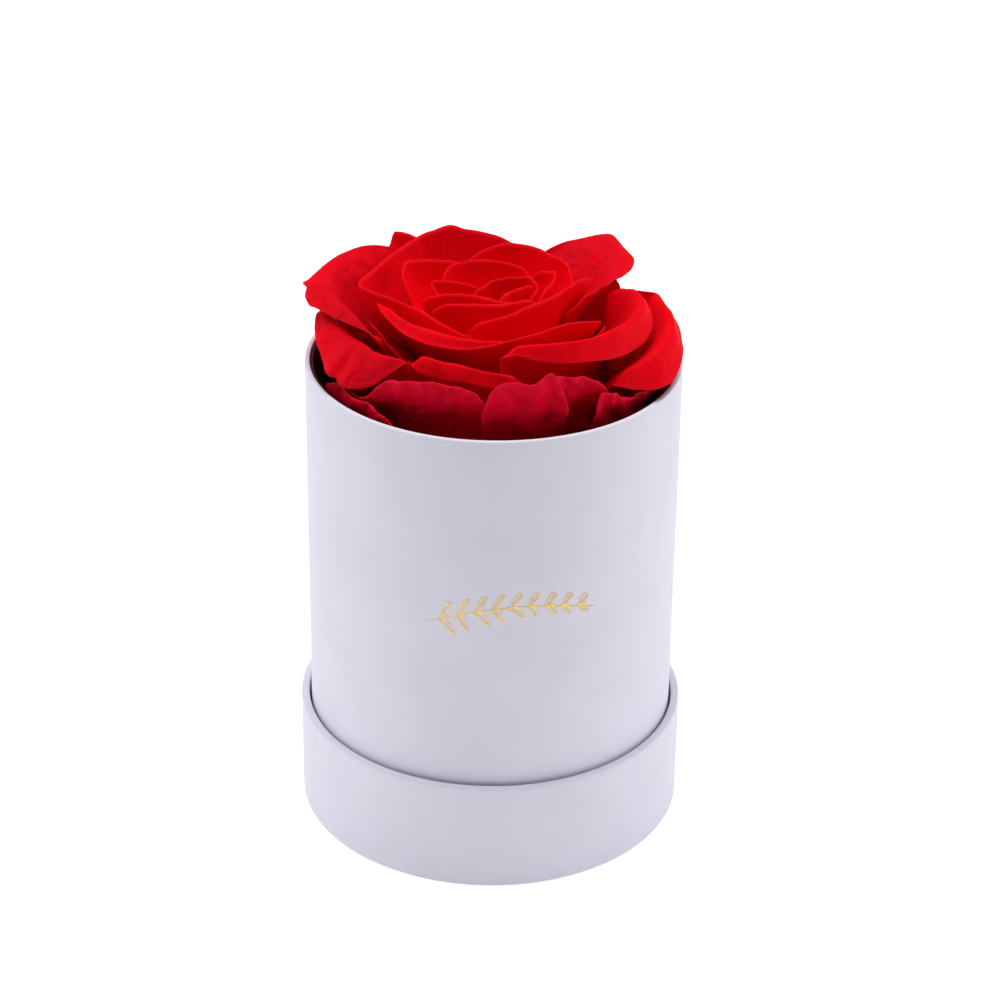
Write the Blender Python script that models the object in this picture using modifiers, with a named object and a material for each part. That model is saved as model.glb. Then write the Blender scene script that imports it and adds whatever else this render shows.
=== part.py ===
"""A preserved red rose standing in a round paper-covered gift box.

The box is a tall tube with its lid set under it as a plinth.  The flower head
stands on a stem pushed into a block of dry floral foam hidden in the tube.
Lengths are in metres, except the petal drawings, which are in millimetres.
"""

import math

import bpy
import numpy as np

MM = 0.001

# ---- the box ---------------------------------------------------------------
TUBE_DIAMETER = 0.090
BOX_HEIGHT = 0.120
TUBE_WALL = 0.0012
LID_WALL = 0.0020
LID_HEIGHT = 0.028
LID_PANEL = 0.0020
BASE_PANEL = 0.0020
LINING_WALL = 0.0005
LINING_BELOW_RIM = 0.0006
GAP = 0.0003
LID_CLEARANCE = 0.0005
ROUND_SIDES = 64

# ---- what stands inside ----------------------------------------------------
FOAM_BELOW_HIP = 0.009
FOAM_CLEARANCE = 0.003
STEM_RADIUS = 0.0026
STEM_ABOVE_FLOOR = 0.021
HIP_BOTTOM = 0.067

# ---- the flower ------------------------------------------------------------
PETAL_THICKNESS = 0.0004
PETAL_COLUMNS = 8
COLUMN_ANGLE = 15.0
PETAL_LEVELS = (0.0, 0.17, 0.33, 0.50, 0.68, 0.84, 1.0)
CLAW_SHARE = 0.3
CLAW_LIMIT = 18.0
CORNER_ROUNDING = 0.09
HEART_PETALS = 10
HEART_OFFSET = (2.5, -1.0)
SEPAL_COUNT = 5

# The flower is drawn for this box and grows or shrinks with the real one.
DRAWN_BOX_HEIGHT = 0.120
DRAWN_INNER_RADIUS = 0.043

TUBE_RADIUS = TUBE_DIAMETER / 2
LID_RADIUS = TUBE_RADIUS + LID_CLEARANCE + LID_WALL
TUBE_BOTTOM = LID_PANEL + GAP
FLOOR_TOP = TUBE_BOTTOM + BASE_PANEL
LINING_RADIUS = TUBE_RADIUS - TUBE_WALL - GAP
FOAM_RADIUS = LINING_RADIUS - LINING_WALL - FOAM_CLEARANCE
FLOWER_SCALE = (LINING_RADIUS - LINING_WALL) / DRAWN_INNER_RADIUS
FLOWER_LIFT = BOX_HEIGHT - DRAWN_BOX_HEIGHT * FLOWER_SCALE

# Every petal is a name and the points of its rim, anticlockwise from above:
# direction in degrees, then radius and height of the free edge and, where the
# petal turns over, radius and height of the crest.  Petals are listed from the
# bud outwards; a petal's place in the list sets how deep it sits in the flower.
PETALS = (
    (
        "heart_core",
        (252, 4.8, 137.3), (272, 3, 137.8), (310, 1.8, 138), (345, 3, 138.4), (0, 5, 138.6), (8, 6.8, 139),
    ),
    (
        "heart_curl",
        (-28, 7.5, 137.6), (2, 8.3, 138.8), (30, 7, 139.5), (65, 4.6, 139.4), (110, 3.8, 139),
        (165, 5, 138.4), (190, 8, 137.4),
    ),
    (
        "heart_left",
        (142, 6.4, 136.4), (158, 7.4, 137.4), (165, 10, 138.3), (167, 13, 138.6), (169, 16, 138.4),
        (171, 17.8, 138.2), (176, 16.6, 137.6), (183, 15.4, 136.4),
    ),
    (
        "heart_front",
        (189, 19.6, 136), (191, 17.4, 137), (195, 14, 137.8), (205, 10.4, 138.3), (226, 7.6, 138.2),
        (255, 6.8, 138), (285, 6.8, 137.6), (312, 7.6, 136.8),
    ),
    (
        "heart_right",
        (-26, 10.2, 137), (-8, 10.8, 138.4), (12, 13, 139.3), (26, 14.8, 139.8), (38, 13, 139),
        (50, 10.8, 137.8),
    ),
    (
        "inner_back",
        (50, 12, 137.4), (68, 12.2, 138.8), (98, 12.6, 139.6), (117, 14.6, 139.5), (134, 16, 139),
        (147, 16, 137.8), (156, 15.2, 136.2),
    ),
    (
        "inner_front",
        (203, 17.2, 135.6), (210, 13.8, 137), (228, 11.2, 137.6), (258, 9.9, 138), (291, 9.6, 138.4),
        (318, 10.4, 138.2), (328, 11, 137),
    ),
    (
        "inner_left",
        (116, 17.4, 137.8), (130, 18.7, 138.7), (143, 21, 139.3), (155, 24.2, 140.4), (163, 24, 139.6),
        (172, 22.8, 138.2), (179, 21.6, 137), (185, 20.8, 135.6),
    ),
    (
        "inner_right",
        (246, 18.6, 132.6), (251, 17.4, 134.6), (257, 16, 136), (273, 14, 136.8), (298, 13.4, 138),
        (328, 14.3, 138.6), (350, 16.4, 139), (2, 19, 139.5), (12, 22.4, 139.8),
    ),
    (
        "middle_back",
        (14, 18.6, 136.6), (26, 20.2, 138), (37, 21.4, 139), (50, 21, 139.4), (64, 22.2, 139.8),
        (80, 22, 140.2), (97, 20.2, 139.2), (112, 18.8, 137.6),
    ),
    (
        "broad_back_right",
        (-14, 18.6, 134.6, 16.5, 129), (1, 21.9, 136, 20, 131.5), (9, 25.2, 136.4, 22.8, 132.5),
        (14, 28.7, 136.6, 25, 133.5), (21, 33.8, 136, 27.6, 134.6), (29, 38.4, 136.3, 29.2, 135),
        (37, 39.8, 137.2, 30.4, 135), (47, 41.8, 138.4, 31.2, 135), (56, 34, 138.2, 28.6, 134),
        (67, 29.4, 136.4, 26.6, 131),
    ),
    (
        "middle_left",
        (73, 25, 137.6), (84, 25, 140), (96, 25.4, 141.2), (107, 26.2, 142.3), (114, 27.4, 143),
        (121, 28.4, 142), (129, 29.6, 141), (143, 28.6, 140.3), (157, 28.6, 140), (172, 29.8, 139.6),
        (186, 32.3, 139.4), (197, 25, 138), (213, 21, 137), (232, 20.2, 136), (254, 20.2, 134.6),
    ),
    (
        "middle_front",
        (197, 28.8, 138, 27.8, 134.5), (207, 28.9, 136.4, 26.4, 136.5), (222, 28.6, 134.6, 25.8, 136.2),
        (238, 28.4, 133.9, 25.2, 135.8), (254, 27.4, 133.8, 24.8, 135.2), (270, 26, 134.8, 24.2, 134.4),
        (288, 24.4, 136, 23.4, 132.4), (306, 24, 136.8, 23, 132), (320, 25.4, 136.8, 24, 132),
        (332, 28.6, 136.4, 26, 132),
    ),
    ("shadow_left", (186, 30.2, 131), (197, 29.6, 131.5), (208, 29, 130), (221, 27.8, 127)),
    ("shadow_right", (298, 25.5, 129), (316, 26.5, 131), (334, 27.5, 132), (350, 27, 131)),
    ("shadow_front", (232, 26.5, 127), (244, 27, 128.5), (256, 26.5, 128), (268, 25, 126)),
    ("back_right_low", (26, 35, 128), (38, 37, 131), (52, 38, 131), (66, 35, 129)),
    ("middle_back_low", (77, 31.4, 133.5), (90, 32.2, 136.5), (105, 33, 136.5), (117, 34, 134.5)),
    (
        "outer_left",
        (132, 34, 137, 31.5, 133), (141, 38.4, 138, 34.2, 134), (153, 41.8, 137.6, 36.4, 134.4),
        (166, 43.7, 137, 37.6, 135), (173, 45, 137.2, 37.6, 135.5), (176, 45.6, 136.8, 37.6, 135.7),
        (178, 44.5, 136.3, 37.4, 135.9), (181, 45, 135.2, 37.2, 136), (184, 44.2, 134, 36.9, 136.1),
        (188, 42, 134.3, 36.4, 136.1), (193, 39.4, 134.2, 35.6, 135.9), (201, 36, 133.8, 34.2, 135),
        (209, 34, 133.8, 32.8, 133), (217, 32.4, 133.6, 31.4, 130),
    ),
    (
        "outer_front_right",
        (273, 28.8, 133, 28, 130.5), (280, 30, 134, 28.6, 134.8), (288, 31.4, 133, 29.4, 135.8),
        (298, 33.2, 132.2, 31.2, 136.3), (311, 35.4, 131.6, 33.4, 136.6), (322, 37, 131.2, 34.4, 137),
        (332, 38.2, 131.6, 34.8, 137.3), (342, 38.2, 132.8, 34.8, 137.8), (351, 37, 134.2, 33.4, 137.4),
        (357, 34.4, 136.4, 31.8, 137), (363, 30.8, 136.8, 29.2, 134.6), (370, 28.4, 135.6, 26.8, 131),
    ),
    (
        "outer_back_left",
        (104, 35, 133.6), (116, 37, 134.8), (124, 39, 137.6), (128, 40.4, 138.4), (131, 39.6, 135.6),
        (140, 39.4, 133),
    ),
    (
        "outer_front",
        (233, 32.6, 130.6, 31.4, 127), (240, 33, 128.8, 31.8, 132.2), (250, 33, 128.4, 31.9, 132.2),
        (259, 33, 128.6, 32, 131.8), (268, 33.2, 127.8, 32.2, 131), (277, 33.4, 127.2, 32.3, 130),
        (284, 33.4, 126.6, 32, 126),
    ),
    (
        "outer_right",
        (316, 37.6, 125.4, 36.4, 124), (322, 40.4, 123.4, 38.2, 128), (327, 43.6, 122.8, 39.6, 129),
        (332, 46, 123.4, 40.6, 130.2), (338, 46.2, 125.4, 41.2, 131), (345, 45.4, 127.6, 41, 132),
        (355, 43.2, 130.2, 40, 132.8), (363, 41, 132, 38.2, 133), (369, 39.4, 133.8, 37, 132),
        (371, 36, 134.4, 34.4, 131.6), (374, 33.4, 134.4, 32, 130.6),
    ),
    (
        "outer_front_left",
        (174, 40.4, 130.6, 38.4, 127), (182, 42.2, 130.6, 38.4, 131), (190, 42.6, 128.8, 37.6, 131.4),
        (197, 42.8, 126.8, 36.6, 131.4), (203, 42.8, 125, 36, 131.2), (208, 43.4, 124.2, 35.8, 131),
        (210, 42.2, 123.4, 35.6, 131), (214, 42.4, 122.5, 35.4, 131), (218, 40, 122.6, 35.2, 131),
        (222, 37.9, 123.8, 35, 131), (227, 35.8, 126.8, 34.5, 131), (232, 34.8, 129.8, 34, 131),
        (236, 34.4, 132.6, 33.6, 129.5),
    ),
    ("guard_back", (66, 35.5, 128), (82, 36.5, 132), (100, 37, 132), (118, 37, 129)),
    (
        "guard_front_right",
        (286, 36.2, 125), (292, 36, 130.4), (298, 36.4, 130.2), (304, 37, 129.6), (309, 38, 128.4),
        (314, 38.8, 124.6),
    ),
    (
        "guard_front_left",
        (210, 39.6, 120.6), (218, 39.6, 121), (223, 39.2, 122.6), (227, 39, 125.4), (231, 38.8, 127.4),
        (236, 38.4, 128.4), (241, 37.6, 129.2), (247, 37.2, 129.4), (253, 37, 128.7), (259, 36.8, 128.8),
        (264, 36.6, 127.8), (269, 37, 124.5),
    ),
    ("guard_right", (-10, 38, 122), (8, 38.5, 127), (26, 38.8, 128.5), (44, 38, 126)),
    (
        "guard_front",
        (266, 38.6, 124), (269, 38.5, 129.6), (273, 38.2, 131.3), (279, 38.2, 131.5), (284, 38.2, 131),
        (288, 38.4, 132), (291, 38.2, 132.9), (294, 38.8, 128.5), (296, 39.2, 124.5),
    ),
    ("guard_left", (148, 39, 124), (164, 39.5, 127), (182, 40, 126), (200, 39.5, 121)),
    (
        "guard_right_low",
        (305, 40.4, 121), (309, 40, 125.6), (314, 40, 124.8), (318, 40.4, 122.8), (326, 40.6, 121.4),
        (342, 40.5, 119),
    ),
    ("guard_back_left", (104, 39.5, 123), (120, 40.5, 128), (136, 40.8, 128), (152, 40.6, 123)),
    ("guard_left_low", (196, 41, 118), (206, 41.2, 121), (216, 41, 121), (226, 40.6, 121), (238, 41, 117)),
    ("guard_back_right", (34, 41.2, 122), (52, 41.6, 127), (68, 41.6, 127), (84, 41.4, 122)),
    ("guard_front_low", (244, 41.8, 115), (258, 41.8, 118), (274, 41.8, 118), (290, 41.8, 115)),
)


def new_material(name, colour, roughness, metallic=0.0):
    material = bpy.data.materials.new(name)
    material.use_nodes = True
    shader = material.node_tree.nodes["Principled BSDF"]
    shader.inputs["Base Color"].default_value = (*colour, 1.0)
    shader.inputs["Roughness"].default_value = roughness
    shader.inputs["Metallic"].default_value = metallic
    material.diffuse_color = (*colour, 1.0)
    return material


def add_mesh(name, points, edges, faces, material, collection):
    mesh = bpy.data.meshes.new(name)
    mesh.from_pydata(points, edges, faces)
    mesh.materials.append(material)
    piece = bpy.data.objects.new(name, mesh)
    collection.objects.link(piece)
    return piece


def turned(name, profile, closed, material, collection, bevel=0.0):
    """A round piece: a profile at +X, from the top down its outer side."""
    points = [(radius, 0.0, height) for radius, height in profile]
    edges = [(i, i + 1) for i in range(len(points) - 1)]
    if closed:
        edges.append((len(points) - 1, 0))
    piece = add_mesh(name, points, edges, [], material, collection)
    screw = piece.modifiers.new("turn", "SCREW")
    screw.angle = 2 * math.pi
    screw.steps = ROUND_SIDES
    screw.render_steps = ROUND_SIDES
    screw.use_merge_vertices = True
    screw.merge_threshold = 0.00001
    screw.use_smooth_shade = True
    if bevel:
        rounding = piece.modifiers.new("soft_edges", "BEVEL")
        rounding.width = bevel
        rounding.segments = 2
        rounding.limit_method = "ANGLE"
        rounding.angle_limit = math.radians(40)
    return piece


def tube(name, outer, wall, bottom, top, material, collection, bevel=0.0):
    profile = ((outer, top), (outer, bottom), (outer - wall, bottom), (outer - wall, top))
    return turned(name, profile, True, material, collection, bevel)


def disc(name, radius, bottom, top, material, collection, bevel=0.0):
    profile = ((0.0, top), (radius, top), (radius, bottom), (0.0, bottom))
    return turned(name, profile, False, material, collection, bevel)


def through(points, share):
    """A smooth curve through the points, at a share of the way along it."""
    points = np.asarray(points, dtype=float)
    place = share * (len(points) - 1)
    i = min(int(place), len(points) - 2)
    before = points[i - 1] if i > 0 else 2 * points[0] - points[1]
    after = points[i + 2] if i + 2 < len(points) else 2 * points[-1] - points[-2]
    start, end = points[i], points[i + 1]
    t = place - i
    bend = 2 * before - 5 * start + 4 * end - after
    turn = 3 * start - before - 3 * end + after
    return 0.5 * (2 * start + (end - before) * t + bend * t * t + turn * t * t * t)


def rim_point(point, neck):
    """Direction, edge and crest of one rim point; a plain edge stands up."""
    if len(point) == 5:
        return point
    direction, radius, height = point
    crest_radius = neck[0] + 0.75 * (radius - neck[0])
    crest_height = neck[1] + 0.6 * (height - neck[1])
    return direction, radius, height, crest_radius, crest_height


def petal_rows(place, rim):
    """The grid of one petal, from its claw on the hip up to its free edge."""
    depth = place / (len(PETALS) - 1)
    foot = (
        (1.5 + 8.5 * depth, 101 - 21 * depth),
        (2 + 29 * depth, 104 - 17 * depth),
        (2 + 37 * depth, 110 - 10 * depth),
        (2 + 40 * depth, 118 - 7 * depth),
        (2 + 40.5 * depth, 121.5 - 7 * depth),
    )
    rounding = CORNER_ROUNDING * max(depth, 0.25) if len(rim[0]) == 3 else 0.0
    rim = [rim_point(point, foot[-1]) for point in rim]
    start = rim[0][0]
    rim = [((point[0] - start) % 360 + start, *point[1:]) for point in rim]
    middle = (rim[0][0] + rim[-1][0]) / 2
    half = (rim[-1][0] - rim[0][0]) / 2
    claw = min(CLAW_SHARE, CLAW_LIMIT / half)
    columns = max(PETAL_COLUMNS, round(2 * half / COLUMN_ANGLE))
    rows = []
    for level in PETAL_LEVELS:
        spread = min(level / 0.5, 1.0)
        spread = claw + (1 - claw) * spread * spread * (3 - 2 * spread)
        row = []
        for column in range(columns + 1):
            along = column / columns
            reach = 1 - rounding * (2 * along - 1) ** 8
            direction, radius, height, crest_radius, crest_height = through(rim, along)
            profile = (*foot, (crest_radius, crest_height), (radius, height))
            out, up = through(profile, level * reach)
            angle = math.radians(middle + (direction - middle) * spread)
            lean = max(0.0, 1 - place / HEART_PETALS) * min(max((up - 105) / 25, 0.0), 1.0)
            x = out * math.cos(angle) + HEART_OFFSET[0] * lean
            y = out * math.sin(angle) + HEART_OFFSET[1] * lean
            row.append(flower_point(x, y, up))
        rows.append(row)
    return rows


def flower_point(x, y, z):
    scale = FLOWER_SCALE * MM
    return x * scale, y * scale, z * scale + FLOWER_LIFT


def sheet(name, rows, thickness, material, collection):
    """A thin leaf or petal: a grid of points given its thickness."""
    width = len(rows[0])
    points = [point for row in rows for point in row]
    faces = []
    for i in range(len(rows) - 1):
        for j in range(width - 1):
            corner = i * width + j
            faces.append((corner, corner + 1, corner + width + 1, corner + width))
    piece = add_mesh(name, points, [], faces, material, collection)
    for face in piece.data.polygons:
        face.use_smooth = True
    body = piece.modifiers.new("thickness", "SOLIDIFY")
    body.thickness = thickness
    body.offset = 0.0
    return piece


def sepal_rows(number):
    """One sepal: a pointed leaf hanging from under the hip."""
    spine = ((9.9, 77.0), (14.5, 75.5), (20.0, 71.5), (25.0, 66.5))
    half_widths = (2.6, 3.4, 2.4, 0.5)
    turn = math.radians(360 * number / SEPAL_COUNT + 20)
    rows = []
    for (out, up), half in zip(spine, half_widths):
        row = []
        for side in (-1.0, -0.5, 0.0, 0.5, 1.0):
            x = out
            y = side * half
            z = up + 0.12 * half * side * side
            row.append(
                flower_point(
                    x * math.cos(turn) - y * math.sin(turn),
                    x * math.sin(turn) + y * math.cos(turn),
                    z,
                )
            )
        rows.append(row)
    return rows


for old in list(bpy.data.objects):
    bpy.data.objects.remove(old)

rose_box = bpy.data.collections.new("rose in a box")
bpy.context.scene.collection.children.link(rose_box)

WHITE_PAPER = new_material("white_paper", (0.82, 0.82, 0.86), 0.75)
BLACK_PAPER = new_material("black_paper", (0.03, 0.02, 0.025), 0.8)
GREY_BOARD = new_material("grey_board", (0.45, 0.43, 0.40), 0.9)
FOAM = new_material("dry_foam", (0.12, 0.22, 0.11), 0.95)
GREEN_STEM = new_material("green_stem", (0.10, 0.20, 0.05), 0.6)
RED_PETAL = new_material("red_petal", (0.72, 0.01, 0.02), 0.6)
DARK_PETAL = new_material("dark_petal", (0.38, 0.01, 0.04), 0.7)

# ---- the box ---------------------------------------------------------------
tube("lid_wall", LID_RADIUS, LID_WALL, 0.0, LID_HEIGHT, WHITE_PAPER, rose_box, bevel=0.0005)
disc("lid_panel", LID_RADIUS - LID_WALL - GAP, 0.0, LID_PANEL, WHITE_PAPER, rose_box)
tube("box_tube", TUBE_RADIUS, TUBE_WALL, TUBE_BOTTOM, BOX_HEIGHT, WHITE_PAPER, rose_box, bevel=0.0003)
disc("box_base", TUBE_RADIUS - TUBE_WALL - GAP, TUBE_BOTTOM, FLOOR_TOP, GREY_BOARD, rose_box)
tube(
    "inner_lining",
    LINING_RADIUS,
    LINING_WALL,
    FLOOR_TOP + GAP,
    BOX_HEIGHT - LINING_BELOW_RIM,
    BLACK_PAPER,
    rose_box,
)

# ---- foam, stem and hip ----------------------------------------------------
foam_bottom = FLOOR_TOP + GAP
hip_bottom = HIP_BOTTOM * FLOWER_SCALE + FLOWER_LIFT
foam_top = hip_bottom - FOAM_BELOW_HIP
stem_foot = foam_bottom + STEM_ABOVE_FLOOR
turned(
    "foam_block",
    (
        (STEM_RADIUS + GAP, foam_top),
        (FOAM_RADIUS - 0.001, foam_top),
        (FOAM_RADIUS, foam_top - 0.001),
        (FOAM_RADIUS, foam_bottom),
        (0.0, foam_bottom),
        (0.0, stem_foot - GAP),
        (STEM_RADIUS + GAP, stem_foot - GAP),
    ),
    True,
    FOAM,
    rose_box,
)
disc("stem", STEM_RADIUS, stem_foot, hip_bottom - GAP, GREEN_STEM, rose_box)
hip_profile = (
    (0.0, 100.5), (0.6, 100.0), (4.6, 90.0), (8.6, 80.0), (9.0, 78.0), (8.6, 75.0), (7.0, 71.0), (4.4, 68.0),
    (3.2, 67.0), (0.0, 67.0),
)
turned(
    "rose_hip",
    [(out * FLOWER_SCALE * MM, up * FLOWER_SCALE * MM + FLOWER_LIFT) for out, up in hip_profile],
    False,
    GREEN_STEM,
    rose_box,
)
for number in range(SEPAL_COUNT):
    sheet(f"sepal_{number + 1}", sepal_rows(number), PETAL_THICKNESS, GREEN_STEM, rose_box)

# ---- the petals ------------------------------------------------------------
for place, (name, *rim) in enumerate(PETALS):
    colour = DARK_PETAL if name.startswith("guard") else RED_PETAL
    sheet(f"petal_{name}", petal_rows(place, rim), PETAL_THICKNESS, colour, rose_box)
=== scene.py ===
"""Looks for the rose in a box: petals, paper, lining, foil sprig, light and camera."""

import math

import bpy
import numpy as np
from mathutils import Matrix, Vector, noise


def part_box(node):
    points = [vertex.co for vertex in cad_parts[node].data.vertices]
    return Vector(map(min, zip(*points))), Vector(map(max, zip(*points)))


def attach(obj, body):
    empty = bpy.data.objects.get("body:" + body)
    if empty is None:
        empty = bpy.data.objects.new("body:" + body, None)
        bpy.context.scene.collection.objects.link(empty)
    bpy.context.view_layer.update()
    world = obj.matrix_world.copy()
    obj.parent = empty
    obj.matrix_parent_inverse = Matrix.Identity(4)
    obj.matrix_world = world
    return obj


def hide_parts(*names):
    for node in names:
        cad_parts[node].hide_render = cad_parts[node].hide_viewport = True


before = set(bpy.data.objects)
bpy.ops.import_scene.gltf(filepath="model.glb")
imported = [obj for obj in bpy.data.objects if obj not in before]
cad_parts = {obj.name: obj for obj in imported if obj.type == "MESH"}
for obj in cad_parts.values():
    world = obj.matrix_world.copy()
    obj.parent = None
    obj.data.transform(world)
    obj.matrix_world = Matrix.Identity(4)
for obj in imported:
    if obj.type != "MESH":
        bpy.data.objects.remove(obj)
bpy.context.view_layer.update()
scene = bpy.context.scene

MM = 0.001

# ---- camera ------------------------------------------------------------------
CAMERA_BACK = 0.642
CAMERA_HEIGHT = 0.4286
CAMERA_DOWN = math.radians(28.434)
CAMERA_TURN = math.radians(0.166)
CAMERA_ROLL = math.radians(0.734)
CAMERA_LENS = 107.64
CAMERA_SENSOR = 36.0
CAMERA_NEAREST = 0.01


def add_camera():
    forward = Vector(
        (
            math.sin(CAMERA_TURN) * math.cos(CAMERA_DOWN),
            math.cos(CAMERA_TURN) * math.cos(CAMERA_DOWN),
            -math.sin(CAMERA_DOWN),
        )
    )
    level = Vector((math.cos(CAMERA_TURN), -math.sin(CAMERA_TURN), 0.0))
    upright = level.cross(forward)
    right = math.cos(CAMERA_ROLL) * level + math.sin(CAMERA_ROLL) * upright
    up = math.cos(CAMERA_ROLL) * upright - math.sin(CAMERA_ROLL) * level
    camera = bpy.data.objects.new("camera", bpy.data.cameras.new("camera"))
    scene.collection.objects.link(camera)
    camera.matrix_world = Matrix(
        (
            (right.x, up.x, -forward.x, 0.0),
            (right.y, up.y, -forward.y, -CAMERA_BACK),
            (right.z, up.z, -forward.z, CAMERA_HEIGHT),
            (0.0, 0.0, 0.0, 1.0),
        )
    )
    camera.data.lens = CAMERA_LENS
    camera.data.sensor_width = CAMERA_SENSOR
    camera.data.clip_start = CAMERA_NEAREST
    scene.camera = camera


# ---- light and floor -----------------------------------------------------------
SKY_COLOUR = (0.96, 0.96, 1.0, 1.0)
SKY_STRENGTH = 0.24
LIT_POINT = (0, 0, 0.1)
# Each softbox: its place, its two sides and its power.
SOFTBOXES = {
    "top_softbox": ((-0.10, 0.10, 1.30), (1.1, 0.9), 14),
    "left_softbox": ((-1.00, 0.15, 0.45), (0.8, 0.9), 3.2),
    "right_softbox": ((1.00, 0.10, 0.45), (0.8, 0.9), 4.2),
}
FLOOR_HALF = 3.0
FLOOR_GLOW = 0.35


def add_softbox(name, place, size, power):
    light = bpy.data.lights.new(name, "AREA")
    light.shape = "RECTANGLE"
    light.size, light.size_y = size
    light.energy = power
    lamp = bpy.data.objects.new(name, light)
    lamp.location = place
    lamp.rotation_euler = (Vector(LIT_POINT) - Vector(place)).to_track_quat("-Z", "Y").to_euler()
    scene.collection.objects.link(lamp)


def add_studio():
    scene.view_settings.view_transform = "Standard"
    world = bpy.data.worlds.new("studio")
    world.use_nodes = True
    scene.world = world
    sky = world.node_tree.nodes["Background"]
    sky.inputs["Color"].default_value = SKY_COLOUR
    sky.inputs["Strength"].default_value = SKY_STRENGTH
    for name, (place, size, power) in SOFTBOXES.items():
        add_softbox(name, place, size, power)

    mesh = bpy.data.meshes.new("floor")
    half = FLOOR_HALF
    corners = [(-half, -half, 0), (half, -half, 0), (half, half, 0), (-half, half, 0)]
    mesh.from_pydata(corners, [], [(0, 1, 2, 3)])
    floor = bpy.data.objects.new("floor", mesh)
    scene.collection.objects.link(floor)
    mesh.materials.append(floor_material())


# ---- node helpers ----------------------------------------------------------------
COLOUR_MIX_SOCKETS = (0, 6, 7)  # factor and the two colours, among a Mix node's inputs
COLOUR_MIX_RESULT = 2


def new_material(name, roughness):
    material = bpy.data.materials.new(name)
    material.use_nodes = True
    nodes = material.node_tree.nodes
    shader = nodes["Principled BSDF"]
    shader.inputs["Roughness"].default_value = roughness
    return material, nodes, material.node_tree.links, shader


def object_place(nodes):
    return nodes.new("ShaderNodeTexCoord").outputs["Object"]


def noise_node(nodes, links, vector, scale, detail=4.0, roughness=0.5):
    node = nodes.new("ShaderNodeTexNoise")
    node.inputs["Scale"].default_value = scale
    node.inputs["Detail"].default_value = detail
    node.inputs["Roughness"].default_value = roughness
    links.new(vector, node.inputs["Vector"])
    return node.outputs["Fac"]


def ramp(nodes, links, value, stops):
    stops = list(stops)
    node = nodes.new("ShaderNodeValToRGB")
    elements = node.color_ramp.elements
    while len(elements) < len(stops):
        elements.new(0.5)
    for element, (place, colour) in zip(elements, stops):
        element.position = place
        element.color = (*colour, 1.0)
    links.new(value, node.inputs["Fac"])
    return node.outputs["Color"]


def grey(value):
    return (value, value, value)


def dimmed(colour, share):
    return tuple(share * part for part in colour)


def mix_colour(nodes, links, factor, first, second):
    """A mix of two colours; each of the three may be a value or a node's output."""
    node = nodes.new("ShaderNodeMix")
    node.data_type = "RGBA"
    for socket, value in zip(COLOUR_MIX_SOCKETS, (factor, first, second)):
        target = node.inputs[socket]
        if isinstance(value, float):
            target.default_value = value
        elif isinstance(value, tuple):
            target.default_value = (*value, 1.0)
        else:
            links.new(value, target)
    return node.outputs[COLOUR_MIX_RESULT]


def stretched(nodes, links, source, scale):
    node = nodes.new("ShaderNodeMapping")
    node.inputs["Scale"].default_value = scale
    links.new(source, node.inputs["Vector"])
    return node.outputs["Vector"]


def bump(nodes, links, over, height, distance, strength):
    """A relief for what lies over it: the shader, or a finer bump. Returns its node."""
    node = nodes.new("ShaderNodeBump")
    node.inputs["Strength"].default_value = strength
    node.inputs["Distance"].default_value = distance
    links.new(height, node.inputs["Height"])
    links.new(node.outputs["Normal"], over.inputs["Normal"])
    return node


def tint(nodes, links, shader, socket, value, stops):
    """One of the shader's inputs, worked out from a value by a ramp of colours."""
    links.new(ramp(nodes, links, value, stops), shader.inputs[socket])


# ---- materials ---------------------------------------------------------------------
PETAL_UV = "petal"
GREEN_DARK = (0.05, 0.09, 0.02)
GREEN_LIGHT = (0.13, 0.20, 0.06)


def floor_material():
    material, nodes, links, shader = new_material("pale_floor", 0.9)
    place = object_place(nodes)
    grain = noise_node(nodes, links, place, scale=40.0)
    tint(nodes, links, shader, "Base Color", grain, ((0.3, grey(0.93)), (0.7, grey(0.95))))
    shader.inputs["Emission Color"].default_value = (1.0, 1.0, 1.0, 1.0)
    shader.inputs["Emission Strength"].default_value = FLOOR_GLOW
    return material


def paper_material(name, shade):
    """Smooth uncoated wrapping paper: a faint tooth and the softest mottling."""
    material, nodes, links, shader = new_material(name, 0.62)
    place = object_place(nodes)
    mottling = noise_node(nodes, links, place, scale=55.0, detail=3.0)
    tint(nodes, links, shader, "Base Color", mottling, ((0.35, dimmed(shade, 0.965)), (0.65, shade)))
    tooth = noise_node(nodes, links, place, scale=2600.0, detail=2.0, roughness=0.6)
    tint(nodes, links, shader, "Roughness", tooth, ((0.2, grey(0.56)), (0.8, grey(0.68))))
    shader.inputs["Specular IOR Level"].default_value = 0.3
    bump(nodes, links, shader, tooth, distance=0.00004, strength=0.5)
    return material


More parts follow.
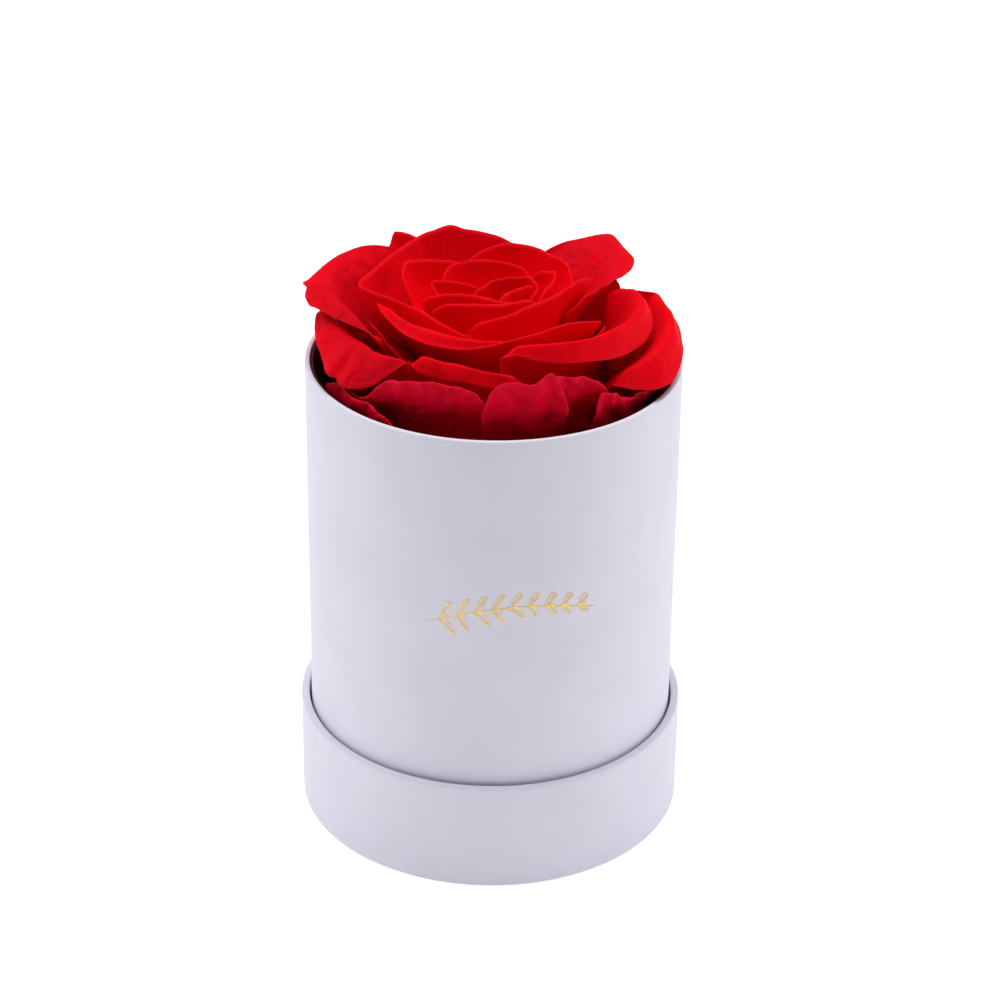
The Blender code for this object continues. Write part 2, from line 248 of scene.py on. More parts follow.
def petal_material(name, shade_and_vein_red, bright, rim, heights, veins, mottle, creases, roughness):
    """A preserved petal: streaked from claw to rim, creased, velvety, paler at its edge.

    The darker red is the colour low down and in the streaks, bright the one higher up, and the
    heights say how far up the darker red ends, the colour between begins and bright begins.
    The darker foot is painted shade, where the petal sits among the others; the streaks are its veins.
    """
    material, nodes, links, shader = new_material(name, roughness)
    uv_node = nodes.new("ShaderNodeUVMap")
    uv_node.uv_map = PETAL_UV
    uv = uv_node.outputs["UV"]
    place = object_place(nodes)
    split = nodes.new("ShaderNodeSeparateXYZ")
    links.new(uv, split.inputs["Vector"])
    up = split.outputs["Y"]
    along_veins = stretched(nodes, links, uv, (34.0, 2.2, 1.0))
    streaks = noise_node(nodes, links, along_veins, scale=1.0, detail=5.0, roughness=0.62)
    along_fibres = stretched(nodes, links, uv, (110.0, 9.0, 1.0))
    fine = noise_node(nodes, links, along_fibres, scale=1.0, detail=3.0, roughness=0.6)
    blotches = noise_node(nodes, links, place, scale=95.0, detail=3.0)
    between = tuple(0.3 * low + 0.7 * high for low, high in zip(shade_and_vein_red, bright))
    # Painted shade: the colour darkens towards the claw, from bright through the colour between to the
    # darker red, for the shade deep among the petals.
    length = ramp(nodes, links, up, zip(heights, (shade_and_vein_red, between, bright)))
    vein_colours = ramp(nodes, links, streaks, ((0.38, shade_and_vein_red), (0.58, bright)))
    veined = mix_colour(nodes, links, veins, length, vein_colours)
    patches = ramp(nodes, links, blotches, ((0.35, dimmed(bright, 0.72)), (0.62, bright)))
    mottled = mix_colour(nodes, links, mottle, veined, patches)
    edge = ramp(nodes, links, up, ((0.965, grey(0.0)), (0.998, grey(0.5))))
    links.new(mix_colour(nodes, links, edge, mottled, rim), shader.inputs["Base Color"])

    both = mix_colour(nodes, links, 0.35, streaks, fine)
    velvet = noise_node(nodes, links, place, scale=2400.0, detail=2.0, roughness=0.7)
    skin = mix_colour(nodes, links, 0.25, both, velvet)
    skin_relief = bump(nodes, links, shader, skin, distance=0.0003, strength=0.5)
    wrinkles = noise_node(nodes, links, place, scale=120.0, detail=2.0, roughness=0.5)
    folded = ramp(nodes, links, wrinkles, ((0.40, grey(1.0)), (0.50, grey(0.0)), (0.60, grey(1.0))))
    bump(nodes, links, skin_relief, folded, distance=0.0009, strength=creases)

    shader.inputs["Specular IOR Level"].default_value = 0.035
    shader.inputs["Sheen Weight"].default_value = 0.008
    shader.inputs["Sheen Roughness"].default_value = 0.4
    shader.inputs["Sheen Tint"].default_value = (1.0, 0.3, 0.3, 1.0)
    shader.inputs["Subsurface Weight"].default_value = 0.12
    shader.inputs["Subsurface Radius"].default_value = (0.004, 0.0004, 0.0006)
    shader.inputs["Subsurface Scale"].default_value = 1.0
    return material


def grainy_material(name, dark, light, scale, distance, roughness):
    """Grainy natural stuff: stem, sepals, dry foam and grey board."""
    material, nodes, links, shader = new_material(name, roughness)
    grain = noise_node(nodes, links, object_place(nodes), scale, detail=5.0, roughness=0.65)
    tint(nodes, links, shader, "Base Color", grain, ((0.35, dark), (0.65, light)))
    tint(nodes, links, shader, "Roughness", grain, ((0.3, grey(roughness)), (0.7, grey(roughness - 0.12))))
    bump(nodes, links, shader, grain, distance, strength=0.8)
    return material


def hip_material():
    """Green below; above, where the petals are fixed, it takes their dark red."""
    material, nodes, links, shader = new_material("hip_skin", 0.75)
    place = object_place(nodes)
    split = nodes.new("ShaderNodeSeparateXYZ")
    links.new(place, split.inputs["Vector"])
    low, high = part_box("rose_hip")
    height = nodes.new("ShaderNodeMapRange")
    height.inputs["From Min"].default_value = low.z
    height.inputs["From Max"].default_value = high.z
    links.new(split.outputs["Z"], height.inputs["Value"])
    grain = noise_node(nodes, links, place, scale=320.0, detail=5.0, roughness=0.65)
    green = ramp(nodes, links, grain, ((0.35, GREEN_DARK), (0.65, GREEN_LIGHT)))
    red = ramp(nodes, links, grain, ((0.35, (0.07, 0.001, 0.002)), (0.65, (0.16, 0.002, 0.006))))
    blend_up = ramp(nodes, links, height.outputs["Result"], ((0.30, grey(0.0)), (0.42, grey(1.0))))
    links.new(mix_colour(nodes, links, blend_up, green, red), shader.inputs["Base Color"])
    tint(nodes, links, shader, "Roughness", grain, ((0.3, grey(0.8)), (0.7, grey(0.65))))
    bump(nodes, links, shader, grain, distance=0.0002, strength=0.8)
    return material


def foil_material():
    material, nodes, links, shader = new_material("gold_foil", 0.32)
    rub = noise_node(nodes, links, object_place(nodes), scale=900.0, detail=3.0)
    tint(nodes, links, shader, "Base Color", rub, ((0.3, (0.62, 0.42, 0.13)), (0.7, (0.83, 0.62, 0.25))))
    tint(nodes, links, shader, "Roughness", rub, ((0.3, grey(0.28)), (0.7, grey(0.42))))
    shader.inputs["Metallic"].default_value = 0.75
    return material


# ---- mesh helpers ------------------------------------------------------------------
def new_piece(name, points, faces, material, node=None, smooth=True):
    mesh = bpy.data.meshes.new(name)
    mesh.from_pydata(points, [], faces)
    mesh.materials.append(material)
    if smooth:
        mesh.polygons.foreach_set("use_smooth", [True] * len(mesh.polygons))
    piece = bpy.data.objects.new(name, mesh)
    scene.collection.objects.link(piece)
    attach(piece, "root")
    if node:
        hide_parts(node)
    return piece


# ---- the box -------------------------------------------------------------------------
BOX_SIDES = 160
TUBE_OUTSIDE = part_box("box_tube")[1].x
CORNER_STEPS = 4
WALL_ROWS = 10
LEAST_RIPPLED_DROP = 0.01
RIPPLE = 0.00006
RIPPLE_ROUND = 3
RIPPLE_UP = 30
# Each turned piece: its node, its wall and the radii of its four edges, namely
# outside above, outside below, inside below and inside above.
TUBE_WRAP = ("box_tube", 0.0012, (0.00045, 0.0004, 0.0003, 0.00035))
LID_WRAP = ("lid_wall", 0.0020, (0.0006, 0.0005, 0.0004, 0.0006))
LINING_PAPER = ("inner_lining", 0.0005, (0.0001, 0.0001, 0.0001, 0.0001))


def rippled(angle, radius, height):
    """Paper pulled over board is never quite true."""
    spot = Vector((RIPPLE_ROUND * math.cos(angle), RIPPLE_ROUND * math.sin(angle), height * RIPPLE_UP))
    return radius + RIPPLE * noise.noise(spot)


def add_wall(name, drawing, material):
    """A rippled tube, turned from the section of its wall."""
    node, wall, edges = drawing
    low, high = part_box(node)
    profile = wall_profile(high.x, high.x - wall, low.z, high.z, edges)
    points = []
    faces = []
    count = len(profile)
    for i in range(BOX_SIDES):
        angle = 2 * math.pi * i / BOX_SIDES
        after = (i + 1) % BOX_SIDES
        for j, (radius, height) in enumerate(profile):
            radius = rippled(angle, radius, height)
            points.append((radius * math.cos(angle), radius * math.sin(angle), height))
            above = (j + 1) % count
            faces.append((i * count + j, i * count + above, after * count + above, after * count + j))
    new_piece(name, points, faces, material, node)


def wall_profile(outer, inner, bottom, top, radii):
    """Section of a tube's wall, with rows up its height so that it can ripple."""
    corners = rounded(((outer, top), (outer, bottom), (inner, bottom), (inner, top)), radii)
    result = []
    for i, (radius, height) in enumerate(corners):
        result.append((radius, height))
        after = corners[(i + 1) % len(corners)]
        drop = after[1] - height
        if abs(drop) > LEAST_RIPPLED_DROP:
            for row in range(1, WALL_ROWS):
                t = row / WALL_ROWS
                result.append((radius + (after[0] - radius) * t, height + drop * t))
    return result


def rounded(corners, radii):
    """A closed profile with each of its corners rounded off by its own radius."""
    result = []
    for i, corner in enumerate(corners):
        corner = Vector(corner)
        before = (Vector(corners[i - 1]) - corner).normalized()
        after = (Vector(corners[(i + 1) % len(corners)]) - corner).normalized()
        start = corner + before * radii[i]
        end = corner + after * radii[i]
        for step in range(CORNER_STEPS + 1):
            t = step / CORNER_STEPS
            point = (1 - t) ** 2 * start + 2 * t * (1 - t) * corner + t**2 * end
            result.append(tuple(point))
    return result


def add_box():
    white = paper_material("white_wrap", (0.725, 0.712, 0.81))
    # Black lining paper; its maroon tint is painted reflection, the rose's red on the inner wall.
    black = paper_material("black_lining_painted_red_reflection", (0.045, 0.008, 0.014))
    board = grainy_material(
        "grey_board_fibre", (0.30, 0.28, 0.25), (0.46, 0.44, 0.40),
        scale=900.0, distance=0.00005, roughness=0.92,
    )
    add_wall("tube_wrap", TUBE_WRAP, white)
    add_wall("lid_wrap", LID_WRAP, white)
    add_wall("lining_paper", LINING_PAPER, black)
    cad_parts["lid_panel"].data.materials[0] = white
    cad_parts["box_base"].data.materials[0] = board


# ---- foil sprig ------------------------------------------------------------------------
FOIL_LIFT = 0.00004
FOIL_THICKNESS = 0.00003
DEGREE = 0.000785  # length of one degree round the tube
TWIG_ENDS = ((-20.0, 0.0715), (33.0, 0.0735))
TWIG_BOW = 0.0042
TWIG_STEPS = 60
LEAF_PAIRS = 9
LEAF_LENGTH = 0.0058
LEAF_SHORTER = 0.00028
LEAF_BOW = 0.0004
LEAF_STEPS = 12
MIDRIB_WIDTH = 0.00012
# Lower leaves take turns: share of the upper leaf's length, angle and width.
LOWER_LEAVES = ((0.95, -42, 0.0020), (0.80, -52, 0.0018))


def on_tube(turn, height):
    """A point on the front of the tube: degrees to the right of the middle, height."""
    radius = TUBE_OUTSIDE + FOIL_LIFT
    angle = math.radians(turn)
    return (radius * math.sin(angle), -radius * math.cos(angle), height)


def bowed(start, end, bow, steps):
    """A path from start to end that bows upwards."""
    result = []
    for i in range(steps + 1):
        t = i / steps
        turn = start[0] + (end[0] - start[0]) * t
        height = start[1] + (end[1] - start[1]) * t + bow * math.sin(math.pi * t)
        result.append((turn, height))
    return result


def swelling(least, more, steps):
    """Widths of a stroke that swells in its middle."""
    return [least + more * math.sin(math.pi * i / steps) for i in range(steps + 1)]


def leaf_strokes(root, length, angle, width):
    """A leaf as strokes of foil: its two edges and its midrib, each with its widths."""
    tilt = math.radians(angle)
    tip = (root[0] + length * math.cos(tilt) / DEGREE, root[1] + length * math.sin(tilt))
    spine = bowed(root, tip, LEAF_BOW, LEAF_STEPS)
    swell = [width * math.sin(math.pi * i / LEAF_STEPS) ** 0.8 for i in range(LEAF_STEPS + 1)]
    upper = [(x, z + s / 2) for (x, z), s in zip(spine, swell)]
    lower = [(x, z - s / 2) for (x, z), s in zip(spine, swell)]
    edge_widths = swelling(0.00016, 0.00022, LEAF_STEPS)
    return [(upper, edge_widths), (lower, edge_widths), (spine, [MIDRIB_WIDTH] * (LEAF_STEPS + 1))]


def add_ribbon(points, faces, path, widths):
    """Adds a flat stroke of foil along a path of turns and heights."""
    start = len(points)
    for i, (turn, height) in enumerate(path):
        before = path[max(i - 1, 0)]
        after = path[min(i + 1, len(path) - 1)]
        along = Vector((after[0] - before[0], (after[1] - before[1]) / DEGREE)).normalized()
        side = Vector((-along.y, along.x)) * widths[i] / DEGREE / 2
        rise = side.y * DEGREE
        points.append(on_tube(turn + side.x, height + rise))
        points.append(on_tube(turn - side.x, height - rise))
    for i in range(len(path) - 1):
        a = start + 2 * i
        faces.append((a, a + 1, a + 3, a + 2))


def add_sprig():
    """A plain leafy twig in gold foil on the front of the tube."""
    twig = bowed(*TWIG_ENDS, TWIG_BOW, TWIG_STEPS)
    strokes = [(twig, swelling(0.00020, 0.00022, TWIG_STEPS))]
    for number in range(LEAF_PAIRS):
        root = twig[5 + 6 * number]
        length = LEAF_LENGTH - LEAF_SHORTER * number
        strokes += leaf_strokes(root, length, 58 - 2 * number, 0.0021)
        share, angle, width = LOWER_LEAVES[number % 2]
        strokes += leaf_strokes(root, length * share, angle + number, width)
    points = []
    faces = []
    for path, widths in strokes:
        add_ribbon(points, faces, path, widths)
    piece = new_piece("foil_sprig", points, faces, foil_material(), smooth=False)
    solid = piece.modifiers.new("foil", "SOLIDIFY")
    solid.thickness = FOIL_THICKNESS
    solid.offset = 1.0


# ---- petals ------------------------------------------------------------------------------
# Each petal, from the bud outwards: its rim points, anticlockwise from above, as
# direction in degrees, then radius and height (mm) of the free edge and, where the
# petal turns over, of the crest.  The sub-parts of the CAD follow the same points.
PETALS = (
    (
        "heart_core",
        (252, 4.8, 137.3), (272, 3, 137.8), (310, 1.8, 138), (345, 3, 138.4), (0, 5, 138.6), (8, 6.8, 139),
    ),
    (
        "heart_curl",
        (-28, 7.5, 137.6), (2, 8.3, 138.8), (30, 7, 139.5), (65, 4.6, 139.4), (110, 3.8, 139),
        (165, 5, 138.4), (190, 8, 137.4),
    ),
    (
        "heart_left",
        (142, 6.4, 136.4), (158, 7.4, 137.4), (165, 10, 138.3), (167, 13, 138.6), (169, 16, 138.4),
        (171, 17.8, 138.2), (176, 16.6, 137.6), (183, 15.4, 136.4),
    ),
    (
        "heart_front",
        (189, 19.6, 136), (191, 17.4, 137), (195, 14, 137.8), (205, 10.4, 138.3), (226, 7.6, 138.2),
        (255, 6.8, 138), (285, 6.8, 137.6), (312, 7.6, 136.8),
    ),
    (
        "heart_right",
        (-26, 10.2, 137), (-8, 10.8, 138.4), (12, 13, 139.3), (26, 14.8, 139.8), (38, 13, 139),
        (50, 10.8, 137.8),
    ),
    (
        "inner_back",
        (50, 12, 137.4), (68, 12.2, 138.8), (98, 12.6, 139.6), (117, 14.6, 139.5), (134, 16, 139),
        (147, 16, 137.8), (156, 15.2, 136.2),
    ),
    (
        "inner_front",
        (203, 17.2, 135.6), (210, 13.8, 137), (228, 11.2, 137.6), (258, 9.9, 138), (291, 9.6, 138.4),
        (318, 10.4, 138.2), (328, 11, 137),
    ),
    (
        "inner_left",
        (116, 17.4, 137.8), (130, 18.7, 138.7), (143, 21, 139.3), (155, 24.2, 140.4), (163, 24, 139.6),
        (172, 22.8, 138.2), (179, 21.6, 137), (185, 20.8, 135.6),
    ),
    (
        "inner_right",
        (246, 18.6, 132.6), (251, 17.4, 134.6), (257, 16, 136), (273, 14, 136.8), (298, 13.4, 138),
        (328, 14.3, 138.6), (350, 16.4, 139), (2, 19, 139.5), (12, 22.4, 139.8),
    ),
    (
        "middle_back",
        (14, 18.6, 136.6), (26, 20.2, 138), (37, 21.4, 139), (50, 21, 139.4), (64, 22.2, 139.8),
        (80, 22, 140.2), (97, 20.2, 139.2), (112, 18.8, 137.6),
    ),
    (
        "broad_back_right",
        (-14, 18.6, 134.6, 16.5, 129), (1, 21.9, 136, 20, 131.5), (9, 25.2, 136.4, 22.8, 132.5),
        (14, 28.7, 136.6, 25, 133.5), (21, 33.8, 136, 27.6, 134.6), (29, 38.4, 136.3, 29.2, 135),
        (37, 39.8, 137.2, 30.4, 135), (47, 41.8, 138.4, 31.2, 135), (56, 34, 138.2, 28.6, 134),
        (67, 29.4, 136.4, 26.6, 131),
    ),
    (
        "middle_left",
        (73, 25, 137.6), (84, 25, 140), (96, 25.4, 141.2), (107, 26.2, 142.3), (114, 27.4, 143),
        (121, 28.4, 142), (129, 29.6, 141), (143, 28.6, 140.3), (157, 28.6, 140), (172, 29.8, 139.6),
        (186, 32.3, 139.4), (197, 25, 138), (213, 21, 137), (232, 20.2, 136), (254, 20.2, 134.6),
    ),
    (
        "middle_front",
        (197, 28.8, 138, 27.8, 134.5), (207, 28.9, 136.4, 26.4, 136.5), (222, 28.6, 134.6, 25.8, 136.2),
        (238, 28.4, 133.9, 25.2, 135.8), (254, 27.4, 133.8, 24.8, 135.2), (270, 26, 134.8, 24.2, 134.4),
        (288, 24.4, 136, 23.4, 132.4), (306, 24, 136.8, 23, 132), (320, 25.4, 136.8, 24, 132),
        (332, 28.6, 136.4, 26, 132),
    ),
    ("shadow_left", (186, 30.2, 131), (197, 29.6, 131.5), (208, 29, 130), (221, 27.8, 127)),
    ("shadow_right", (298, 25.5, 129), (316, 26.5, 131), (334, 27.5, 132), (350, 27, 131)),
    ("shadow_front", (232, 26.5, 127), (244, 27, 128.5), (256, 26.5, 128), (268, 25, 126)),
    ("back_right_low", (26, 35, 128), (38, 37, 131), (52, 38, 131), (66, 35, 129)),
    ("middle_back_low", (77, 31.4, 133.5), (90, 32.2, 136.5), (105, 33, 136.5), (117, 34, 134.5)),
    (
        "outer_left",
        (132, 34, 137, 31.5, 133), (141, 38.4, 138, 34.2, 134), (153, 41.8, 137.6, 36.4, 134.4),
        (166, 43.7, 137, 37.6, 135), (173, 45, 137.2, 37.6, 135.5), (176, 45.6, 136.8, 37.6, 135.7),
        (178, 44.5, 136.3, 37.4, 135.9), (181, 45, 135.2, 37.2, 136), (184, 44.2, 134, 36.9, 136.1),
        (188, 42, 134.3, 36.4, 136.1), (193, 39.4, 134.2, 35.6, 135.9), (201, 36, 133.8, 34.2, 135),
        (209, 34, 133.8, 32.8, 133), (217, 32.4, 133.6, 31.4, 130),
    ),
    (
        "outer_front_right",
        (273, 28.8, 133, 28, 130.5), (280, 30, 134, 28.6, 134.8), (288, 31.4, 133, 29.4, 135.8),
        (298, 33.2, 132.2, 31.2, 136.3), (311, 35.4, 131.6, 33.4, 136.6), (322, 37, 131.2, 34.4, 137),
        (332, 38.2, 131.6, 34.8, 137.3), (342, 38.2, 132.8, 34.8, 137.8), (351, 37, 134.2, 33.4, 137.4),
        (357, 34.4, 136.4, 31.8, 137), (363, 30.8, 136.8, 29.2, 134.6), (370, 28.4, 135.6, 26.8, 131),
    ),
    (
        "outer_back_left",
        (104, 35, 133.6), (116, 37, 134.8), (124, 39, 137.6), (128, 40.4, 138.4), (131, 39.6, 135.6),
        (140, 39.4, 133),
    ),
    (
        "outer_front",
        (233, 32.6, 130.6, 31.4, 127), (240, 33, 128.8, 31.8, 132.2), (250, 33, 128.4, 31.9, 132.2),
        (259, 33, 128.6, 32, 131.8), (268, 33.2, 127.8, 32.2, 131), (277, 33.4, 127.2, 32.3, 130),
        (284, 33.4, 126.6, 32, 126),
    ),
    (
        "outer_right",
        (316, 37.6, 125.4, 36.4, 124), (322, 40.4, 123.4, 38.2, 128), (327, 43.6, 122.8, 39.6, 129),
        (332, 46, 123.4, 40.6, 130.2), (338, 46.2, 125.4, 41.2, 131), (345, 45.4, 127.6, 41, 132),
        (355, 43.2, 130.2, 40, 132.8), (363, 41, 132, 38.2, 133), (369, 39.4, 133.8, 37, 132),
        (371, 36, 134.4, 34.4, 131.6), (374, 33.4, 134.4, 32, 130.6),
    ),
    (
        "outer_front_left",
        (174, 40.4, 130.6, 38.4, 127), (182, 42.2, 130.6, 38.4, 131), (190, 42.6, 128.8, 37.6, 131.4),
        (197, 42.8, 126.8, 36.6, 131.4), (203, 42.8, 125, 36, 131.2), (208, 43.4, 124.2, 35.8, 131),
        (210, 42.2, 123.4, 35.6, 131), (214, 42.4, 122.5, 35.4, 131), (218, 40, 122.6, 35.2, 131),
        (222, 37.9, 123.8, 35, 131), (227, 35.8, 126.8, 34.5, 131), (232, 34.8, 129.8, 34, 131),
        (236, 34.4, 132.6, 33.6, 129.5),
    ),
    ("guard_back", (66, 35.5, 128), (82, 36.5, 132), (100, 37, 132), (118, 37, 129)),
    (
        "guard_front_right",
        (286, 36.2, 125), (292, 36, 130.4), (298, 36.4, 130.2), (304, 37, 129.6), (309, 38, 128.4),
        (314, 38.8, 124.6),
    ),
    (
        "guard_front_left",
        (210, 39.6, 120.6), (218, 39.6, 121), (223, 39.2, 122.6), (227, 39, 125.4), (231, 38.8, 127.4),
        (236, 38.4, 128.4), (241, 37.6, 129.2), (247, 37.2, 129.4), (253, 37, 128.7), (259, 36.8, 128.8),
        (264, 36.6, 127.8), (269, 37, 124.5),
    ),
    ("guard_right", (-10, 38, 122), (8, 38.5, 127), (26, 38.8, 128.5), (44, 38, 126)),
    (
        "guard_front",
        (266, 38.6, 124), (269, 38.5, 129.6), (273, 38.2, 131.3), (279, 38.2, 131.5), (284, 38.2, 131),
        (288, 38.4, 132), (291, 38.2, 132.9), (294, 38.8, 128.5), (296, 39.2, 124.5),
    ),
    ("guard_left", (148, 39, 124), (164, 39.5, 127), (182, 40, 126), (200, 39.5, 121)),
    (
        "guard_right_low",
        (305, 40.4, 121), (309, 40, 125.6), (314, 40, 124.8), (318, 40.4, 122.8), (326, 40.6, 121.4),
        (342, 40.5, 119),
    ),
    ("guard_back_left", (104, 39.5, 123), (120, 40.5, 128), (136, 40.8, 128), (152, 40.6, 123)),
    ("guard_left_low", (196, 41, 118), (206, 41.2, 121), (216, 41, 121), (226, 40.6, 121), (238, 41, 117)),
    ("guard_back_right", (34, 41.2, 122), (52, 41.6, 127), (68, 41.6, 127), (84, 41.4, 122)),
    ("guard_front_low", (244, 41.8, 115), (258, 41.8, 118), (274, 41.8, 118), (290, 41.8, 115)),
)
# From claw to neck: radius and height of the innermost petal, each with what the
# outermost one has more (mm).
FOOT = (
    (1.5, 8.5, 101, -21), (2, 29, 104, -17), (2, 37, 110, -10), (2, 40, 118, -7), (2, 40.5, 121.5, -7),
)
PETAL_COLUMNS = 56
PETAL_ROWS = 40
PETAL_THICKNESS = 0.00026
CLAW_SHARE = 0.3
CLAW_LIMIT = 18.0
CORNER_ROUNDING = 0.09
TURNED_ROUNDING = 0.045
SPREAD_PETALS = ("broad_back_right", "outer_left", "outer_front_left")
HEART_PETALS = 10
HEART_OFFSET = (2.5, -1.0)
FIRST_SEED = 100
UV_STEP = 1.7  # sets each petal's streaks apart from the next one's
RIM_SMOOTHNESS = 0.6
RAGGED = 0.009
RAGGED_MORE = 0.008
RAGGED_WAVES = (3, 5, 8, 13, 21)
FOLD = 0.00030
FOLD_MORE = 0.00045
FOLD_WAVES = (2, 3, 5)
DIMPLES = ((0.00030, 130), (0.00010, 420))  # height, and cells in a metre
CREASE = (0.0013, 190)
ROLL = 0.00028
ROLL_FROM = 0.94


def curve_places(points, share):
    """Where shares of a curve fall: the stretch, how far along it, and all the points
    with one more at each end."""
    count = len(points)
    place = np.clip(share, 0.0, 1.0) * (count - 1)
    i = np.minimum(place.astype(int), count - 2)
    padded = np.concatenate([2 * points[:1] - points[1:2], points, 2 * points[-1:] - points[-2:-1]])
    return i, place - i, padded


def blend(p0, p1, p2, p3, t):
    """Catmull-Rom's curve from p1 to p2."""
    bend = 2 * p0 - 5 * p1 + 4 * p2 - p3
    turn = 3 * p1 - p0 - 3 * p2 + p3
    return 0.5 * (2 * p1 + (p2 - p0) * t + bend * t * t + turn * t * t * t)


def rim_curve(rim, shares):
    """The rim through its points: partly smooth, partly straight, as real rims are."""
    i, t, padded = curve_places(rim, shares)
    t = t[:, None]
    smooth = blend(padded[i], padded[i + 1], padded[i + 2], padded[i + 3], t)
    straight = padded[i + 1] * (1 - t) + padded[i + 2] * t
    return RIM_SMOOTHNESS * smooth + (1 - RIM_SMOOTHNESS) * straight


def rim_table(rim, neck):
    """Rim points with a crest each, their directions rising from the first one's."""
    table = []
    for point in rim:
        if len(point) == 3:
            direction, radius, height = point
            crest = (neck[0] + 0.75 * (radius - neck[0]), neck[1] + 0.6 * (height - neck[1]))
            point = (direction, radius, height, *crest)
        table.append(point)
    table = np.array(table, dtype=float)
    table[:, 0] = (table[:, 0] - table[0, 0]) % 360 + table[0, 0]
    return table


def random_waves(random, along, least, numbers):
    """Waves along the rim, of random height and phase; the shorter, the lower."""
    return sum(
        random.uniform(least, 1.0) / k * np.sin(2 * math.pi * (k * along + random.uniform(0, 1)))
        for k in numbers
    )


def petal_surface(place, rim, crinkle):
    """Points of one petal as an array of rows from claw to rim."""
    depth = place / (len(PETALS) - 1)
    foot = np.array([(r + more_r * depth, z + more_z * depth) for r, more_r, z, more_z in FOOT])
    table = rim_table(rim, foot[-1])
    middle = (table[0, 0] + table[-1, 0]) / 2
    half = (table[-1, 0] - table[0, 0]) / 2
    claw = min(CLAW_SHARE, CLAW_LIMIT / half)
    random = np.random.default_rng(FIRST_SEED + place)
    along = np.linspace(0.0, 1.0, PETAL_COLUMNS + 1)
    side = 2 * along - 1
    edges = rim_curve(table, along)
    ragged = random_waves(random, along, 0.2, RAGGED_WAVES)
    plain = len(rim[0]) == 3
    corner = CORNER_ROUNDING * max(depth, 0.25) if plain else TURNED_ROUNDING
    reach = 1 - corner * np.abs(side) ** 8 + (RAGGED + RAGGED_MORE * crinkle) * ragged
    reach = reach - max(0.0, reach.max() - 1.0)
    level = np.linspace(0.0, 1.0, PETAL_ROWS + 1) ** 0.85
    spread = np.minimum(level / 0.5, 1.0)
    spread = claw + (1 - claw) * spread * spread * (3 - 2 * spread)
    controls = np.empty((len(foot) + 2, PETAL_COLUMNS + 1, 2))
    controls[:-2] = foot[:, None, :]
    controls[-2] = edges[:, 3:5]
    controls[-1] = edges[:, 1:3]
    i, t, padded = curve_places(controls, level[:, None] * reach[None, :])
    column = np.broadcast_to(np.arange(PETAL_COLUMNS + 1), i.shape)
    stretch = (padded[i + step, column] for step in range(4))
    profile = blend(*stretch, t[:, :, None])
    angle = np.radians(middle + (edges[None, :, 0] - middle) * spread[:, None])
    out, up = profile[:, :, 0], profile[:, :, 1]
    lean = max(0.0, 1 - place / HEART_PETALS) * np.clip((up - 105) / 25, 0.0, 1.0)
    x = out * np.cos(angle) + HEART_OFFSET[0] * lean
    y = out * np.sin(angle) + HEART_OFFSET[1] * lean
    surface = np.stack([x, y, up], axis=2) * MM
    return surface + petal_relief(surface, level, along, random, crinkle)


def lattice_noise(points):
    """Smooth random values from -1 to 1 at an array of points in space."""
    cell = np.floor(points)
    part = points - cell
    part = part * part * (3 - 2 * part)
    total = np.zeros(points.shape[:-1])
    for corner in np.ndindex(2, 2, 2):
        spot = cell + corner
        mixed = np.sin(spot @ np.array((12.9898, 78.233, 37.719))) * 43758.5453
        value = 2 * (mixed - np.floor(mixed)) - 1
        weight = np.where(np.array(corner) == 1, part, 1 - part).prod(axis=-1)
        total += weight * value
    return total


def normals_of(surface):
    down = np.gradient(surface, axis=0)
    across = np.gradient(surface, axis=1)
    normal = np.cross(across, down)
    return normal / np.maximum(np.linalg.norm(normal, axis=2, keepdims=True), 1e-12)


def petal_relief(surface, level, along, random, crinkle):
    """Soft folds, dimples, creases and a lightly rolled edge, as a shift along the normal."""
    grow = np.clip((level - 0.45) / 0.55, 0, 1)[:, None] ** 1.5
    folds = random_waves(random, along, 0.4, FOLD_WAVES)[None, :]
    wave = (FOLD + FOLD_MORE * crinkle) * folds * grow
    offset = random.uniform(0, 50, 3)
    rough = sum(height * lattice_noise(surface * cells + offset) for height, cells in DIMPLES)
    crease_height, cells = CREASE
    crease = np.abs(lattice_noise(surface * cells + 2 * offset))
    rough = rough + crinkle * crease_height * (0.25 - crease)
    roll = ROLL * np.clip((level - ROLL_FROM) / (1 - ROLL_FROM), 0, 1)[:, None] ** 2
    shift = wave + rough * np.clip(level * 2 - 0.6, 0.1, 1)[:, None]
    return normals_of(surface) * (shift - roll)[:, :, None]


def crinkle_of(name):
    """How crinkled a petal is: the guards most, the heart least."""
    if name.startswith("guard"):
        return 1.0
    return 0.5 if name in SPREAD_PETALS else 0.1


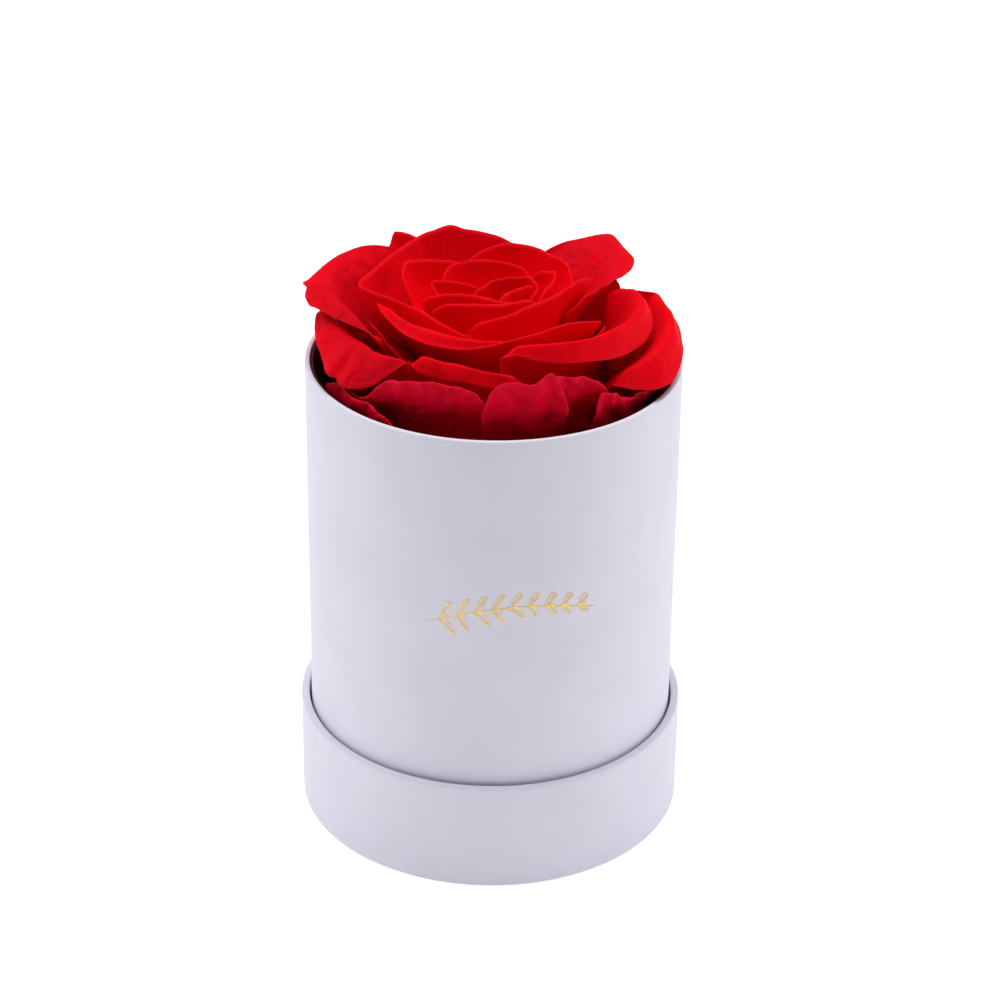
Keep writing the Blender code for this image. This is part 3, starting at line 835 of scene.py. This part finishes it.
def add_petal(place, name, rim, material):
    surface = petal_surface(place, rim, crinkle_of(name))
    rows, columns = surface.shape[:2]
    faces = []
    for i in range(rows - 1):
        for j in range(columns - 1):
            a = i * columns + j
            faces.append((a, a + 1, a + columns + 1, a + columns))
    points = surface.reshape(-1, 3).tolist()
    piece = new_piece(f"{name}_petal", points, faces, material, f"petal_{name}")
    layer = piece.data.uv_layers.new(name=PETAL_UV)
    u, v = np.meshgrid(np.linspace(0, 1, columns), np.linspace(0, 1, rows))
    spots = np.stack([(u + place * UV_STEP).ravel(), v.ravel()], axis=1)
    corners = np.empty(len(piece.data.loops), dtype=np.int32)
    piece.data.loops.foreach_get("vertex_index", corners)
    layer.data.foreach_set("uv", spots[corners].ravel())
    solid = piece.modifiers.new("thickness", "SOLIDIFY")
    solid.thickness = PETAL_THICKNESS
    solid.offset = 0.0


def petal_skins():
    red_rim = (0.84, 0.008, 0.020)
    red = petal_material(
        "red_petal_skin", shade_and_vein_red=(0.16, 0.0003, 0.002), bright=(0.92, 0.0004, 0.008), rim=red_rim,
        heights=(0.54, 0.72, 0.92), veins=0.12, mottle=0.2, creases=0.10, roughness=0.6,
    )
    # Painted light: the heart's petals take a lighter copy of the red skin, brighter and pale further down,
    # to make up for the light they get less of deep in the flower.
    heart = petal_material(
        "heart_petal_painted_lit_skin", shade_and_vein_red=(0.30, 0.0003, 0.002), bright=(0.98, 0.0004, 0.006), rim=red_rim,
        heights=(0.40, 0.60, 0.80), veins=0.06, mottle=0.1, creases=0.10, roughness=0.6,
    )
    # Painted shade: the turned-out petals take a darker copy of the red skin, dimmer and dark further up,
    # for the light they catch more of; their stronger streaks, mottling and creases are their own.
    spread = petal_material(
        "spread_petal_painted_shade_skin", shade_and_vein_red=(0.10, 0.0003, 0.002), bright=(0.78, 0.0004, 0.010), rim=red_rim,
        heights=(0.56, 0.76, 0.95), veins=0.28, mottle=0.4, creases=0.3, roughness=0.58,
    )
    dark = petal_material(
        "dark_petal_skin", shade_and_vein_red=(0.17, 0.0004, 0.004), bright=(0.82, 0.001, 0.025), rim=(0.70, 0.012, 0.035),
        heights=(0.36, 0.60, 0.90), veins=0.35, mottle=0.55, creases=0.5, roughness=0.45,
    )
    return red, heart, spread, dark


def add_flower():
    red, heart, spread, dark = petal_skins()
    for place, (name, *rim) in enumerate(PETALS):
        if name.startswith("guard"):
            add_petal(place, name, rim, dark)
        elif place < HEART_PETALS:
            add_petal(place, name, rim, heart)
        elif name in SPREAD_PETALS:
            add_petal(place, name, rim, spread)
        else:
            add_petal(place, name, rim, red)
    green = grainy_material(
        "dried_green", GREEN_DARK, GREEN_LIGHT, scale=320.0, distance=0.0002, roughness=0.75
    )
    for name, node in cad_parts.items():
        if name.startswith("sepal") or name == "stem":
            node.data.materials[0] = green
    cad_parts["rose_hip"].data.materials[0] = hip_material()
    foam = grainy_material(
        "dry_foam_cells", (0.06, 0.12, 0.05), (0.13, 0.24, 0.11),
        scale=1500.0, distance=0.0004, roughness=0.95,
    )
    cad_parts["foam_block"].data.materials[0] = foam


add_camera()
add_studio()
add_box()
add_sprig()
add_flower()
